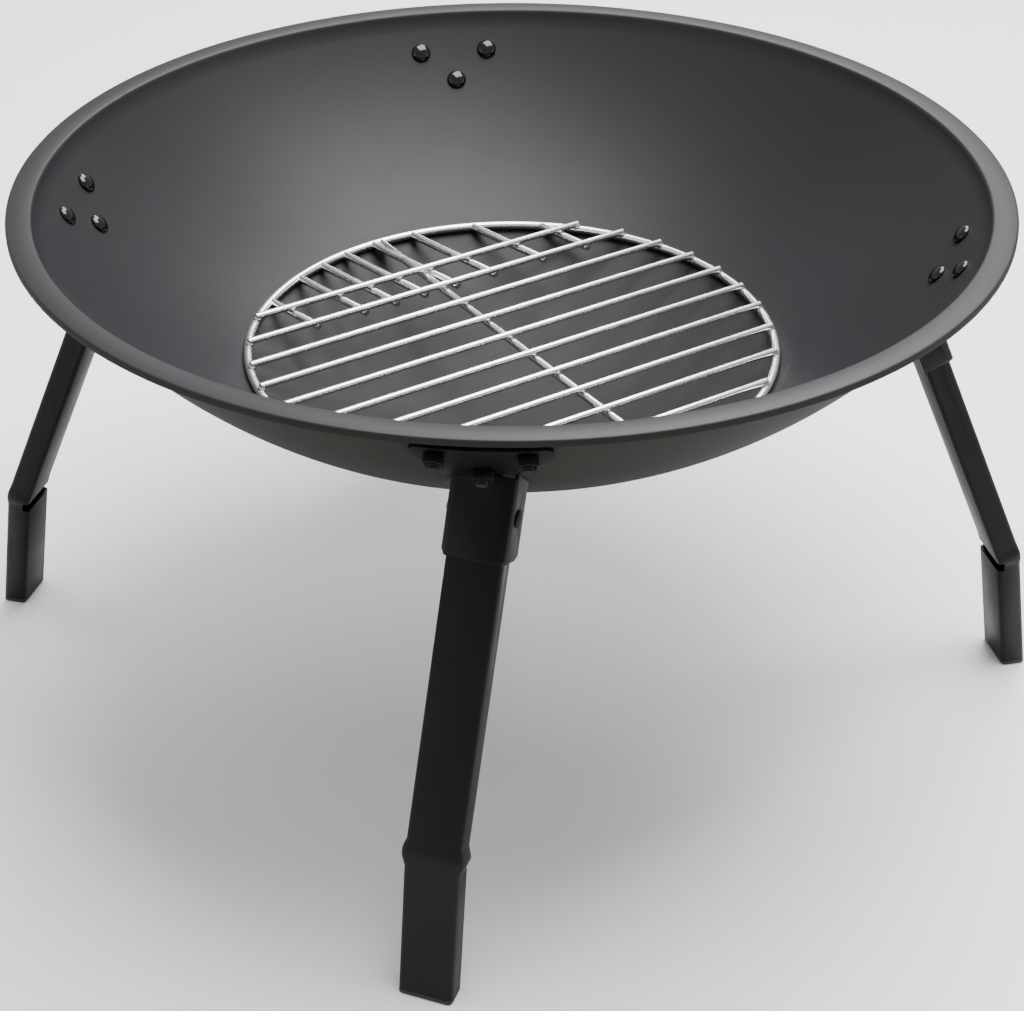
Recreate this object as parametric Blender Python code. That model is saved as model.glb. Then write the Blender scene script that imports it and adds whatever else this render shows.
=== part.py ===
"""Folding fire bowl: a pressed steel bowl on four folding legs, with a lift-out wire grate.

Metres, Z up. The origin is on the floor under the bowl's centre, and the front leg points along -Y.
"""

import math

import bmesh
import bpy
from mathutils import Matrix, Vector

# Bowl
RIM_HEIGHT = 0.313
RIM_RADIUS = 0.280
FLANGE_INNER_RADIUS = 0.2655
SHEET = 0.0016
BOWL_RADIUS = 0.3178
BOWL_CENTRE = 0.4840
LIP_DROP = 0.0036
BOWL_SIDES = 80
BOWL_ANGLES = (11, 21, 29.4, 36.5, 42, 46.5, 50, 53, 55.6)

# Wire grate
GRATE_RADIUS = 0.1545
RING_WIRE = 0.0025
BAR_WIRE = 0.0020
CROSS_WIRE = 0.0024
BAR_COUNT = 10
BAR_PITCH = 0.0250
FIRST_BAR = 0.1015
BAR_TURN = 40.0
SHORT_BARS = (-0.069, -0.037, -0.016, 0.004, 0.026, 0.053, 0.089, 0.121)
SHORT_TURN = -38.0
GRATE_GAP = 0.0003

# Legs, of bent rectangular tube: name, the knee's direction and distance from the centre,
# and how far the fold plane is turned from that direction
LEGS = (
    ("front", -90.0, 0.3050, -13.0),
    ("right", 2.0, 0.2985, 18.0),
    ("back", 102.0, 0.3065, -14.0),
    ("left", 180.0, 0.3095, -8.0),
)
TUBE_WIDTH = 0.030
TUBE_DEPTH = 0.015
TUBE_WALL = 0.0015
TUBE_CORNER = 0.0025
KNEE_HEIGHT = 0.083
LEG_LEAN = math.radians(23.8)
FOOT_LEAN = math.radians(9.5)
PIN_ALONG = 0.177
BEND_RADIUS = 0.0030
KNEE_BULGE = 0.0018
SLOT_WIDTH = 0.0064
SLOT_DEPTH = 0.0042

# Foot plugs
PLUG_FLANGE = 0.0030
PLUG_STEM = 0.0160

# Brackets, pins and bolts
GAP = 0.0003
PLATE = 0.0020
CHEEK_BACK = -0.0090
WEB_BOTTOM = -0.0230
WEB_TOP = 0.0205
PIN_RADIUS = 0.0030
PIN_HOLE = 0.0034
PIN_HEAD = 0.0046
BOLT_CIRCLE = 0.2520
BOLT_SPACING = 0.0440
BOLT_DROP = 0.0190
BOLT_RADIUS = 0.0030
BOLT_HOLE = 0.0035
BOLT_HEAD = 0.0062
HEAD_GAP = 0.0005
NUT_RADIUS = 0.0057
NUT_HEIGHT = 0.0050
PLATE_OUTLINE = (
    (-0.031, -0.008),
    (0.031, -0.008),
    (0.034, -0.005),
    (0.034, 0.005),
    (0.021, 0.022),
    (0.021, 0.050),
    (-0.021, 0.050),
    (-0.021, 0.022),
    (-0.034, 0.005),
    (-0.034, -0.005),
)

COLOURS = {
    "bowl": (0.045, 0.047, 0.052, 0.2, 0.45),
    "grate": (0.75, 0.75, 0.76, 1.0, 0.18),
    "bracket": (0.022, 0.022, 0.021, 0.2, 0.5),
    "leg": (0.020, 0.020, 0.019, 0.2, 0.45),
    "plug": (0.015, 0.015, 0.015, 0.0, 0.6),
    "bolt": (0.010, 0.010, 0.011, 0.3, 0.25),
    "nut": (0.020, 0.020, 0.021, 0.4, 0.4),
    "pin": (0.030, 0.030, 0.030, 0.5, 0.35),
}


def clear_scene():
    for obj in list(bpy.data.objects):
        bpy.data.objects.remove(obj)


def material(name):
    found = bpy.data.materials.get(name)
    if found:
        return found
    made = bpy.data.materials.new(name)
    made.use_nodes = True
    red, green, blue, metallic, roughness = COLOURS[name]
    shader = made.node_tree.nodes["Principled BSDF"]
    shader.inputs["Base Color"].default_value = (red, green, blue, 1.0)
    shader.inputs["Metallic"].default_value = metallic
    shader.inputs["Roughness"].default_value = roughness
    return made


def solid(name, points, faces, origin=(0.0, 0.0, 0.0), look=None):
    """Makes one closed object whose faces point out. Without a look it is a cutter."""
    origin = Vector(origin)
    mesh = bpy.data.meshes.new(name)
    mesh.from_pydata([Vector(point) - origin for point in points], [], faces)
    build = bmesh.new()
    build.from_mesh(mesh)
    bmesh.ops.recalc_face_normals(build, faces=build.faces)
    build.to_mesh(mesh)
    build.free()
    obj = bpy.data.objects.new(name, mesh)
    obj.location = origin
    bpy.context.collection.objects.link(obj)
    if look:
        mesh.materials.append(material(look))
        mesh.shade_smooth()
        mesh.set_sharp_from_angle(angle=math.radians(35))
    else:
        obj.hide_render = True
        obj.display_type = "WIRE"
    return obj


def loft(loops, ring=False):
    """Joins loops of equal length. A ring joins the last loop to the first; otherwise both ends are capped."""
    count = len(loops[0])
    points = [point for loop in loops for point in loop]
    faces = []
    bands = len(loops) if ring else len(loops) - 1
    for band in range(bands):
        low = band * count
        high = (band + 1) % len(loops) * count
        for i in range(count):
            j = (i + 1) % count
            faces.append((low + i, low + j, high + j, high + i))
    if not ring:
        faces.append(tuple(reversed(range(count))))
        faces.append(tuple(range(len(points) - count, len(points))))
    return points, faces


def turned(profile, sides, place, start=0.0):
    """Turns (radius, height) pairs, which start and end on the axis, into a solid along the place's Z."""
    points = [place @ Vector((0, 0, profile[0][1]))]
    for radius, height in profile[1:-1]:
        for i in range(sides):
            angle = start + 2 * math.pi * i / sides
            points.append(place @ Vector((radius * math.cos(angle), radius * math.sin(angle), height)))
    points.append(place @ Vector((0, 0, profile[-1][1])))
    last = len(points) - 1
    faces = []
    for i in range(sides):
        j = (i + 1) % sides
        faces.append((0, 1 + j, 1 + i))
        faces.append((last, last - sides + i, last - sides + j))
        for band in range(len(profile) - 3):
            low = 1 + band * sides
            faces.append((low + i, low + j, low + sides + j, low + sides + i))
    return points, faces


def boolean(obj, cutter, operation):
    modifier = obj.modifiers.new(operation.title(), "BOOLEAN")
    modifier.operation = operation
    modifier.solver = "EXACT"
    modifier.object = cutter


def joined(name, shapes):
    """One cutter made of several closed shapes that don't touch."""
    points = []
    faces = []
    for shape_points, shape_faces in shapes:
        first = len(points)
        points += shape_points
        faces += [tuple(first + i for i in face) for face in shape_faces]
    return solid(name, points, faces)


def along(start, direction, side):
    """A placing matrix at start with Z along direction and X towards side."""
    z = Vector(direction).normalized()
    x = (Vector(side) - z * z.dot(Vector(side))).normalized()
    y = z.cross(x)
    place = Matrix((x, y, z)).transposed().to_4x4()
    place.translation = Vector(start)
    return place


# Bowl


def shell_point(radius, degrees):
    angle = math.radians(degrees)
    return radius * math.sin(angle), BOWL_CENTRE - radius * math.cos(angle)


def bowl_profile():
    inside = [(0.0, BOWL_CENTRE - BOWL_RADIUS)]
    inside += [shell_point(BOWL_RADIUS, angle) for angle in BOWL_ANGLES]
    rim = [
        (FLANGE_INNER_RADIUS, RIM_HEIGHT - 0.0007),
        (FLANGE_INNER_RADIUS + 0.0016, RIM_HEIGHT),
        (RIM_RADIUS - 0.0022, RIM_HEIGHT),
        (RIM_RADIUS - 0.0006, RIM_HEIGHT - 0.0008),
        (RIM_RADIUS, RIM_HEIGHT - LIP_DROP),
        (RIM_RADIUS - SHEET, RIM_HEIGHT - LIP_DROP),
        (RIM_RADIUS - SHEET - 0.0008, RIM_HEIGHT - SHEET),
        (FLANGE_INNER_RADIUS + 0.0024, RIM_HEIGHT - SHEET),
    ]
    outer = BOWL_RADIUS + SHEET
    outside = [shell_point(outer, angle) for angle in reversed(BOWL_ANGLES)]
    return inside + rim + outside + [(0.0, BOWL_CENTRE - outer)]


def wall_frame(azimuth):
    """Unit vectors at a bolt group: out through the wall, sideways, and down the slope."""
    polar = math.asin(BOLT_CIRCLE / BOWL_RADIUS)
    out = Vector((math.cos(azimuth), math.sin(azimuth), 0))
    normal = out * math.sin(polar) - Vector((0, 0, math.cos(polar)))
    side = Vector((-math.sin(azimuth), math.cos(azimuth), 0))
    return normal, side, normal.cross(side)


def wall_direction(azimuth, across, down):
    """The wall's outward normal at a place measured from the middle of the upper two bolts."""
    normal, side, slope = wall_frame(azimuth)
    if slope.z > 0:
        slope = -slope
    reach = BOWL_RADIUS
    return (normal + side * math.tan(across / reach) + slope * math.tan(down / reach)).normalized()


def group_azimuth(matrix):
    """Where a leg's bolt group sits round the bowl: in line with its pin."""
    pin = matrix @ Vector((pin_point()[0], 0, 0))
    return math.atan2(pin.y, pin.x)


def bolt_places(azimuth):
    spots = ((-BOLT_SPACING / 2, 0.0), (BOLT_SPACING / 2, 0.0), (0.0, BOLT_DROP))
    places = []
    for across, down in spots:
        direction = wall_direction(azimuth, across, down)
        places.append(along((0, 0, BOWL_CENTRE), direction, (0, 0, 1)))
    return places


def hole_shape(place, radius, low, high, sides):
    return turned([(0.0, low), (radius, low), (radius, high), (0.0, high)], sides, place)


def make_bowl():
    points, faces = turned(bowl_profile(), BOWL_SIDES, Matrix())
    bowl = solid("fire_bowl", points, faces, look="bowl")
    holes = []
    for _, degrees, distance, turn in LEGS:
        for place in bolt_places(group_azimuth(leg_matrix(degrees, distance, turn))):
            holes.append(hole_shape(place, BOLT_HOLE, BOWL_RADIUS - 0.02, BOWL_RADIUS + 0.02, 10))
    boolean(bowl, joined("bowl_hole_cutter", holes), "DIFFERENCE")


# Grate


def ring_height():
    reach = BOWL_RADIUS - RING_WIRE - GRATE_GAP
    return BOWL_CENTRE - math.sqrt(reach * reach - GRATE_RADIUS * GRATE_RADIUS)


def wire(start, end, radius, sides):
    direction = Vector(end) - Vector(start)
    place = along(start, direction, (0, 0, 1))
    length = direction.length
    return turned([(0.0, 0.0), (radius, 0.0), (radius, length), (0.0, length)], sides, place)


def chord(turn, offset, height, first=None, last=None):
    """Ends of a straight wire across the ring, turned about the centre and set off sideways."""
    angle = math.radians(turn)
    run = Vector((math.cos(angle), math.sin(angle), 0))
    side = Vector((-math.sin(angle), math.cos(angle), 0))
    half = math.sqrt(GRATE_RADIUS * GRATE_RADIUS - offset * offset)
    start = -half if first is None else first
    end = half if last is None else last
    middle = side * offset + Vector((0, 0, height))
    return middle + run * start, middle + run * end


def ring_solid(height):
    loops = []
    for i in range(48):
        angle = 2 * math.pi * i / 48
        out = Vector((math.cos(angle), math.sin(angle), 0))
        middle = out * GRATE_RADIUS + Vector((0, 0, height))
        loop = []
        for k in range(8):
            turn = math.pi / 8 + 2 * math.pi * k / 8
            loop.append(middle + out * RING_WIRE * math.cos(turn) + Vector((0, 0, RING_WIRE * math.sin(turn))))
        loops.append(loop)
    return loft(loops, ring=True)


def short_bar_ends(offset, height):
    """A short under-wire runs from the ring to just past the second long bar."""
    angle = math.radians(SHORT_TURN)
    run = Vector((math.cos(angle), math.sin(angle), 0))
    side = Vector((-math.sin(angle), math.cos(angle), 0))
    across = Vector((-math.sin(math.radians(BAR_TURN)), math.cos(math.radians(BAR_TURN)), 0))
    half = math.sqrt(GRATE_RADIUS * GRATE_RADIUS - offset * offset)
    start = side * offset - run * half
    limit = FIRST_BAR - 1.12 * BAR_PITCH
    reach = (start.dot(across) - limit) / -run.dot(across)
    lift = Vector((0, 0, height))
    return start + lift, start + run * reach + lift


def make_grate():
    height = ring_height()
    bar_height = height + RING_WIRE + BAR_WIRE - 0.0005
    points, faces = ring_solid(height)
    grate = solid("grate", points, faces, (0, 0, height), "grate")
    pieces = []
    for i in range(BAR_COUNT):
        ends = chord(BAR_TURN, FIRST_BAR - BAR_PITCH * i, bar_height)
        pieces.append(wire(*ends, BAR_WIRE, 8))
    boolean(grate, joined("grate_bar_joiner", pieces), "UNION")
    unders = [wire(*chord(BAR_TURN - 90, 0.0, height), CROSS_WIRE, 8)]
    for offset in SHORT_BARS:
        unders.append(wire(*short_bar_ends(offset, height), CROSS_WIRE, 8))
    boolean(grate, joined("grate_under_joiner", unders), "UNION")


# Legs


def leg_matrix(degrees, distance, turn):
    """Local X points out from the knee in the fold plane, Y along the hinge, Z up."""
    out = Matrix.Rotation(math.radians(degrees), 4, "Z") @ Matrix.Translation((distance, 0, 0))
    return out @ Matrix.Rotation(math.radians(turn), 4, "Z")


def pin_point():
    """The pivot in the fold plane, as (out, height)."""
    return -PIN_ALONG * math.sin(LEG_LEAN), KNEE_HEIGHT + PIN_ALONG * math.cos(LEG_LEAN)


def leg_point(n, t, u):
    """A point beside the upper leg: n out from its centre line, t across, u up from the pin."""
    out, height = pin_point()
    sine = math.sin(LEG_LEAN)
    cosine = math.cos(LEG_LEAN)
    return Vector((out + n * cosine - u * sine, t, height + n * sine + u * cosine))


def section(width, depth, corner):
    """Rounded rectangle as (n, t) pairs, with three points on each corner."""
    pairs = []
    for quarter in range(4):
        sign_n = 1 if quarter in (0, 3) else -1
        sign_t = 1 if quarter in (0, 1) else -1
        middle = (sign_n * (depth / 2 - corner), sign_t * (width / 2 - corner))
        for step in range(3):
            angle = math.radians(90 * quarter + 45 * step)
            pairs.append((middle[0] + corner * math.cos(angle), middle[1] + corner * math.sin(angle)))
    return pairs


def path_stations():
    """Places along the tube: centre (out, height), lean, side bulge, and whether the cut is level."""
    out, height = pin_point()
    top = 0.012
    stations = [((out - top * math.sin(LEG_LEAN), height + top * math.cos(LEG_LEAN)), LEG_LEAN, 0.0, False)]
    middle = BEND_RADIUS + TUBE_DEPTH / 2
    turn = LEG_LEAN - FOOT_LEAN
    tangent = middle * math.tan(turn / 2)
    for back, bulge in ((0.0055, 0.0), (0.0025, 0.55)):
        reach = tangent + back
        centre = (-reach * math.sin(LEG_LEAN), KNEE_HEIGHT + reach * math.cos(LEG_LEAN))
        stations.append((centre, LEG_LEAN, bulge, False))
    start = (-tangent * math.sin(LEG_LEAN), KNEE_HEIGHT + tangent * math.cos(LEG_LEAN))
    pivot = (start[0] - middle * math.cos(LEG_LEAN), start[1] - middle * math.sin(LEG_LEAN))
    for step in range(5):
        lean = LEG_LEAN - turn * step / 4
        centre = (pivot[0] + middle * math.cos(lean), pivot[1] + middle * math.sin(lean))
        stations.append((centre, lean, 1.0, False))
    for ahead, bulge in ((0.0025, 0.55), (0.0055, 0.0)):
        reach = tangent + ahead
        centre = (reach * math.sin(FOOT_LEAN), KNEE_HEIGHT - reach * math.cos(FOOT_LEAN))
        stations.append((centre, FOOT_LEAN, bulge, False))
    stations.append((foot_centre(PLUG_FLANGE + GAP), FOOT_LEAN, 0.0, True))
    return stations


def foot_centre(height):
    """Where the foot's centre line passes a height."""
    return (KNEE_HEIGHT - height) * math.tan(FOOT_LEAN), height


def section_loop(station, pairs, bulge_scale=1.0):
    centre, lean, bulge, level = station
    swell = 1 + bulge * bulge_scale * KNEE_BULGE / (TUBE_WIDTH / 2)
    loop = []
    for n, t in pairs:
        if level:
            loop.append(Vector((centre[0] + n / math.cos(lean), t, centre[1])))
        else:
            loop.append(Vector((centre[0] + n * math.cos(lean), t * swell, centre[1] + n * math.sin(lean))))
    return loop


def tube_shape(matrix):
    outer = section(TUBE_WIDTH, TUBE_DEPTH, TUBE_CORNER)
    inner = section(TUBE_WIDTH - 2 * TUBE_WALL, TUBE_DEPTH - 2 * TUBE_WALL, TUBE_CORNER - TUBE_WALL)
    stations = path_stations()
    loops = [section_loop(station, outer) for station in stations]
    loops += [section_loop(station, inner) for station in reversed(stations)]
    loops = [[matrix @ point for point in loop] for loop in loops]
    return loft(loops, ring=True)


def prism(matrix, outline, low, high):
    """Extrudes (n, u) pairs across the leg from t = low to t = high."""
    loops = []
    for t in (low, high):
        loops.append([matrix @ leg_point(n, t, u) for n, u in outline])
    return loft(loops)


def end_round_outline():
    """What is taken off above the pin, so that the tube's end turns inside its channel."""
    radius = TUBE_DEPTH / 2 - 0.0001
    outline = [(-0.014, 0.0)]
    for step in range(9):
        angle = math.pi - math.pi * step / 8
        outline.append((radius * math.cos(angle), radius * math.sin(angle)))
    outline += [(0.014, 0.0), (0.014, 0.016), (-0.014, 0.016)]
    return outline


def slot_shape(matrix):
    """A saw slot across the inner face, just under the bend."""
    cosine = math.cos(FOOT_LEAN)
    sine = math.sin(FOOT_LEAN)
    loops = []
    for t in (-0.02, 0.02):
        loop = []
        inner = -TUBE_DEPTH / 2 + SLOT_DEPTH
        low = 0.0022 + SLOT_WIDTH
        loop += [(-0.012, 0.0022), (-0.012, low), (inner, low), (inner, 0.0022)]
        placed = []
        for n, down in loop:
            point = Vector((down * sine + n * cosine, t, KNEE_HEIGHT - down * cosine + n * sine))
            placed.append(matrix @ point)
        loops.append(placed)
    return loft(loops)


def pin_place(matrix):
    out, height = pin_point()
    centre = matrix @ Vector((out, 0, height))
    axis = matrix.to_3x3() @ Vector((0, 1, 0))
    return along(centre, axis, (0, 0, 1)), centre


def make_leg(name, matrix):
    place, centre = pin_place(matrix)
    points, faces = tube_shape(matrix)
    leg = solid(name + "_leg", points, faces, centre, "leg")
    end = solid(name + "_leg_end_cutter", *prism(matrix, end_round_outline(), -0.02, 0.02))
    boolean(leg, end, "DIFFERENCE")
    slot = slot_shape(matrix)
    hole = hole_shape(place, PIN_HOLE, -0.02, 0.02, 12)
    boolean(leg, joined(name + "_leg_cutter", [slot, hole]), "DIFFERENCE")


def make_plug(name, matrix):
    """A plastic plug: a flange that the leg stands on, and a stem up inside the tube."""
    _, centre = pin_place(matrix)
    flange = section(TUBE_WIDTH, TUBE_DEPTH, TUBE_CORNER)
    sole = section(TUBE_WIDTH - 0.0016, TUBE_DEPTH - 0.0016, TUBE_CORNER - 0.0008)
    inner = 2 * (TUBE_WALL + GAP)
    stem = section(TUBE_WIDTH - inner, TUBE_DEPTH - inner, 0.0008)
    loops = []
    for pairs, height in ((sole, 0.0), (flange, 0.0008), (flange, PLUG_FLANGE), (stem, PLUG_FLANGE), (stem, PLUG_STEM)):
        station = (foot_centre(height), FOOT_LEAN, 0.0, True)
        loops.append([matrix @ point for point in section_loop(station, pairs)])
    solid(name + "_foot_plug", *loft(loops), centre, "plug")


def make_pin(name, matrix):
    place, centre = pin_place(matrix)
    half = TUBE_WIDTH / 2 + GAP + PLATE + GAP
    profile = [
        (0.0, -half - 0.0018),
        (PIN_HEAD * 0.6, -half - 0.0015),
        (PIN_HEAD, -half - 0.0004),
        (PIN_HEAD, -half),
        (PIN_RADIUS, -half),
        (PIN_RADIUS, half),
        (PIN_HEAD, half),
        (PIN_HEAD, half + 0.0004),
        (PIN_HEAD * 0.6, half + 0.0015),
        (0.0, half + 0.0018),
    ]
    points, faces = turned(profile, 12, place, math.pi / 12)
    solid(name + "_pivot_pin", points, faces, centre, "pin")


# Brackets


def wall_patch(azimuth, low, high, reach, first, last, columns, rows):
    """A piece of spherical shell beside a bolt group, between two radii."""
    shells = []
    for radius in (low, high):
        shell = []
        for row in range(rows + 1):
            down = first + (last - first) * row / rows
            for column in range(columns + 1):
                across = -reach + 2 * reach * column / columns
                direction = wall_direction(azimuth, across, down)
                shell.append(Vector((0, 0, BOWL_CENTRE)) + direction * radius)
        shells.append(shell)
    count = len(shells[0])
    wide = columns + 1
    faces = []
    for row in range(rows):
        for column in range(columns):
            a = row * wide + column
            faces.append((a, a + 1, a + wide + 1, a + wide))
            faces.append((count + a + wide, count + a + wide + 1, count + a + 1, count + a))
    edge = list(range(columns)) + [row * wide + columns for row in range(rows)]
    edge += [rows * wide + column for column in range(columns, 0, -1)]
    edge += [row * wide for row in range(rows, 0, -1)]
    for i, a in enumerate(edge):
        b = edge[(i + 1) % len(edge)]
        faces.append((b, a, count + a, count + b))
    return shells[0] + shells[1], faces


def plate_prism(azimuth):
    """The flange plate's outline, extruded through the wall."""
    loops = []
    for radius in (BOWL_RADIUS - 0.02, BOWL_RADIUS + 0.03):
        loop = []
        for across, down in PLATE_OUTLINE:
            direction = wall_direction(azimuth, across, down)
            loop.append(Vector((0, 0, BOWL_CENTRE)) + direction * radius)
        loops.append(loop)
    return loft(loops)


def channel_section():
    """Half the channel's outline as (n, t): outside from the cheek's edge, then inside back to it."""
    outer = TUBE_WIDTH / 2 + GAP + PLATE
    front = TUBE_DEPTH / 2 + GAP + PLATE
    bend = 0.0030
    outside = [(CHEEK_BACK, outer), (front - bend, outer)]
    outside += [(front - bend * 0.29, outer - bend * 0.29), (front, outer - bend)]
    inner = outer - PLATE
    inside = [(front - PLATE, inner), (CHEEK_BACK, inner)]
    return outside, inside


def channel_shape(matrix):
    outside, inside = channel_section()
    outline = outside + [(n, -t) for n, t in reversed(outside)]
    outline += [(n, -t) for n, t in reversed(inside)] + inside
    loops = []
    for u, squeeze in ((WEB_BOTTOM, 0.0014), (WEB_BOTTOM + 0.0030, 0.0), (0.045, 0.0)):
        loop = []
        for n, t in outline:
            pulled = t - math.copysign(squeeze if abs(t) > 0.0155 else 0.0, t)
            loop.append(matrix @ leg_point(n, pulled, u))
        loops.append(loop)
    return loft(loops)


def window_outline():
    """The gap above the web, as (n, u) pairs."""
    return [(TUBE_DEPTH / 2 - 0.0004, WEB_TOP), (0.03, WEB_TOP), (0.03, 0.06), (TUBE_DEPTH / 2 - 0.0004, 0.06)]


def make_bracket(name, matrix, azimuth):
    low = BOWL_RADIUS + SHEET + GAP
    high = low + PLATE
    bracket = solid(name + "_bracket", *plate_prism(azimuth), look="bracket")
    shell = solid(name + "_plate_shell", *wall_patch(azimuth, low, high, 0.040, -0.014, 0.058, 6, 6))
    boolean(bracket, shell, "INTERSECT")
    channel = solid(name + "_channel_joiner", *channel_shape(matrix))
    cap = solid(name + "_channel_cap", *wall_patch(azimuth, 0.265, low + 0.0009, 0.060, -0.030, 0.075, 8, 8))
    boolean(channel, cap, "DIFFERENCE")
    window = solid(name + "_window_cutter", *prism(matrix, window_outline(), -0.025, 0.025))
    boolean(channel, window, "DIFFERENCE")
    boolean(bracket, channel, "UNION")
    place, _ = pin_place(matrix)
    holes = [hole_shape(place, PIN_HOLE, -0.025, 0.025, 12)]
    for bolt in bolt_places(azimuth):
        holes.append(hole_shape(bolt, BOLT_HOLE, low - 0.004, high + 0.004, 10))
    boolean(bracket, joined(name + "_bracket_hole_cutter", holes), "DIFFERENCE")


def bolt_profile():
    under = BOWL_RADIUS - HEAD_GAP
    tip = BOWL_RADIUS + SHEET + GAP + PLATE + GAP + NUT_HEIGHT + 0.0025
    return [
        (0.0, under - 0.0036),
        (BOLT_HEAD * 0.5, under - 0.0031),
        (BOLT_HEAD * 0.86, under - 0.0018),
        (BOLT_HEAD, under),
        (BOLT_RADIUS, under),
        (BOLT_RADIUS, tip),
        (0.0, tip),
    ]


def nut_shape(place):
    bottom = BOWL_RADIUS + SHEET + GAP + PLATE + GAP
    loops = []
    for radius, height in (
        (NUT_RADIUS, bottom),
        (NUT_RADIUS, bottom + NUT_HEIGHT),
        (0.0038, bottom + NUT_HEIGHT),
        (0.0038, bottom),
    ):
        loop = []
        for i in range(6):
            angle = math.pi * i / 3
            loop.append(place @ Vector((radius * math.cos(angle), radius * math.sin(angle), height)))
        loops.append(loop)
    return loft(loops, ring=True)


def make_fasteners(name, azimuth):
    for place, spot in zip(bolt_places(azimuth), ("upper_a", "upper_b", "lower")):
        points, faces = turned(bolt_profile(), 10, place)
        middle = place @ Vector((0, 0, BOWL_RADIUS))
        solid(f"{name}_bolt_{spot}", points, faces, middle, "bolt")
        points, faces = nut_shape(place)
        solid(f"{name}_nut_{spot}", points, faces, middle, "nut")


def main():
    clear_scene()
    make_bowl()
    make_grate()
    for name, degrees, distance, turn in LEGS:
        matrix = leg_matrix(degrees, distance, turn)
        azimuth = group_azimuth(matrix)
        make_bracket(name, matrix, azimuth)
        make_leg(name, matrix)
        make_plug(name, matrix)
        make_pin(name, matrix)
        make_fasteners(name, azimuth)


main()
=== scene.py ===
"""Looks of the folding fire bowl: the pressed bowl, its wire grate, the folding legs and their fastenings.

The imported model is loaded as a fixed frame, and every piece here rides on one of its bodies.
Lengths are in metres, and angles in degrees.
"""

import math

import bmesh
import bpy
from mathutils import Matrix, Vector


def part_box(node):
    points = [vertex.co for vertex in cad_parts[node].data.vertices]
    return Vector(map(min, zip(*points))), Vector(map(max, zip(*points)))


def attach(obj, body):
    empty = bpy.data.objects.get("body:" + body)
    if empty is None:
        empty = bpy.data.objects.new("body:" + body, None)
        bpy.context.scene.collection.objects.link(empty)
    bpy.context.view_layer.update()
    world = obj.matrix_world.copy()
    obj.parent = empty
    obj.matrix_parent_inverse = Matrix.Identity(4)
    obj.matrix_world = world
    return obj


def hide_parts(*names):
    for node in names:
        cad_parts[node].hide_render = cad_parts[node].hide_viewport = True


bl_info = {
    "name": "Folding fire bowl",
    "version": (1, 0, 0),
    "blender": (4, 5, 0),
    "location": "3D View > Sidebar > Fire bowl",
    "description": "Dresses the packed fire bowl: painted dish and legs, chromed grate and a plain studio",
    "category": "Object",
}

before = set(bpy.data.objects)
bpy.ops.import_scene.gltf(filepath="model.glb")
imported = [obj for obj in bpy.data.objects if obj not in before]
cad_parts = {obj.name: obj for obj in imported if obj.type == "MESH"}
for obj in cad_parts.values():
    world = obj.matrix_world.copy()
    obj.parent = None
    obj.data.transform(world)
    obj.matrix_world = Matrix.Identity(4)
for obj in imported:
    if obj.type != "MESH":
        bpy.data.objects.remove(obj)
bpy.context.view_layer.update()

LEG_NAMES = ("front", "right", "back", "left")
BOLT_SPOTS = ("upper_a", "upper_b", "lower")
BOWL_LOW, BOWL_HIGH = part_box("fire_bowl")
GRATE_LOW, GRATE_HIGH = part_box("grate")
RIM_HEIGHT = BOWL_HIGH.z
RIM_RADIUS = BOWL_HIGH.x

# The dish is a piece of a sphere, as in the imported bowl
DISH_RADIUS = 0.3178
DISH_CENTRE = 0.4840
DISH_EDGE_DROP = 0.0058

# The rim above the dish's edge, as (radius, drop below the rim's top)
RIM_STEPS = (
    (0.2652, 0.0026),
    (0.2657, 0.0011),
    (0.2663, 0.0003),
    (0.2671, 0.0),
    (0.2786, 0.0),
    (0.2793, 0.0002),
    (0.2798, 0.0007),
    (0.2800, 0.0015),
    (0.2800, 0.0036),
)

# The bolts: the straight edge of the head below its dome, the threaded shank, and the corners' rounding
HEAD_EDGE = 0.0005
SHANK_LENGTH = 0.0115
SHANK_RADIUS = 0.0030
THREAD_PITCH = 0.001
BOLT_ROUNDING = 0.00025
NUT_ROUNDING = 0.0004

# The grate's wires, as turns and as offsets from the middle of the ring
BAR_TURN = 40.0
FIRST_BAR = 0.1015
BAR_PITCH = 0.0250
SHORT_TURN = -38.0
SHORT_BARS = (-0.069, -0.037, -0.016, 0.004, 0.026, 0.053, 0.089, 0.121)

# How far a long bar is sunk into the ring, and how far from its end the weld bead sits
WELD_SINK = 0.0005
BEAD_INSET = 0.001

# Tubes and pins are rounded less than the pressed brackets, and a painted highlight lies in a band along an
# edge
TUBE_EDGE_SHARE = 0.6
PIN_EDGE_SHARE = 0.4
EDGE_HIGHLIGHT_BAND = 0.0009

# The bowl's two sides are told apart by the middle of the sheet, a band under the flange and one in the lip
SHEET_BLEND = 0.0002
FLANGE_BAND = (0.0045, 0.0035)
LIP_BAND = (0.0005, 0.0001)

# How much rougher the outside is, its colours, and the share of that which coals leave under the grate
OUTSIDE_ROUGHER = 0.28
OUTSIDE_DARK = (0.0092, 0.0082, 0.0058)
OUTSIDE_LIGHT = (0.0135, 0.0121, 0.0086)
SCORCHED = 0.4
SCORCH_BAND = (0.006, 0.004)

# Nuts and pins are blackened, and a bolt's thread is rougher than its enamelled head
OXIDE = (0.0032, 0.0031, 0.0028)
THREAD_ROUGHER = 0.75

# A copied CAD piece has corners closer than this merged, and faces flatter than this many degrees joined.
# Shading stays smooth to this many degrees past the angle at which edges are rounded.
MERGED_WITHIN = 0.000002
JOINED_WITHIN = 0.6
SMOOTH_PAST = 18

# A length too short to see, for picking the vertices that lie in a plane
HAIR = 0.00001

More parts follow.
